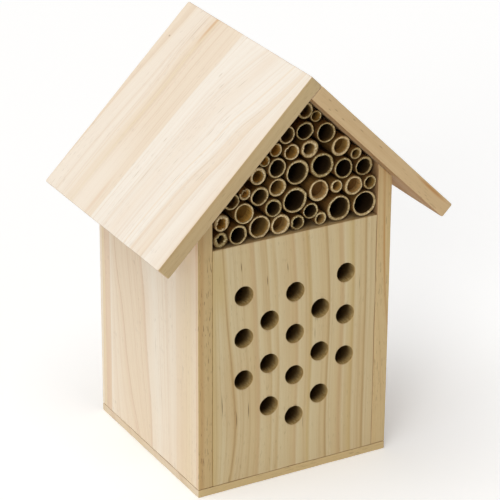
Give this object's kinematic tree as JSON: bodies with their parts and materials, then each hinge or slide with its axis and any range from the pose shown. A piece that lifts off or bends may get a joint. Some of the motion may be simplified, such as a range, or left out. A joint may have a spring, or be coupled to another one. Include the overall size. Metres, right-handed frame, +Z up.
{
  "type": "insect hotel",
  "caption": "Small pine house for solitary insects: a block drilled with blind nesting holes below, and a gable packed with cut canes under a two-board pitched roof.",
  "frame": {"origin": "centre of the base board's underside", "axes": "+Z up, -Y towards the front of the house, +X to the right seen from the front"},
  "size_m": [0.1514, 0.114, 0.2006],
  "materials": {
    "pine_roof": "bare planed pine, pale",
    "pine_wall": "bare planed pine",
    "pine_back": "bare planed pine",
    "pine_block": "bare planed pine, drilled",
    "pine_base": "bare planed pine",
    "cane": "dry cut bamboo cane",
    "brad_steel": "bright wire brad"
  },
  "bodies": {
    "root": {"base_board": "pine_base", "left_wall": "pine_wall", "right_wall": "pine_wall", "back_board": "pine_back", "drilled_block": "pine_block", "left_roof_board": "pine_roof", "right_roof_board": "pine_roof", "base_brads": "brad_steel", "back_brads": "brad_steel", "cane_01": "cane", "cane_02": "cane", "cane_03": "cane", "cane_04": "cane", "cane_05": "cane", "cane_06": "cane", "cane_07": "cane", "cane_08": "cane", "cane_09": "cane", "cane_10": "cane", "cane_11": "cane", "cane_12": "cane", "cane_13": "cane", "cane_14": "cane", "cane_15": "cane", "cane_16": "cane", "cane_17": "cane", "cane_18": "cane", "cane_19": "cane", "cane_20": "cane", "cane_21": "cane", "cane_22": "cane", "cane_23": "cane", "cane_24": "cane", "cane_25": "cane", "cane_26": "cane", "cane_27": "cane", "cane_28": "cane", "cane_29": "cane", "cane_30": "cane", "cane_31": "cane", "cane_32": "cane", "cane_33": "cane", "cane_34": "cane", "cane_35": "cane", "cane_36": "cane", "cane_37": "cane", "cane_38": "cane", "cane_39": "cane", "cane_40": "cane", "cane_41": "cane", "cane_42": "cane", "cane_43": "cane", "cane_44": "cane", "cane_45": "cane"}
  },
  "joints": []
}
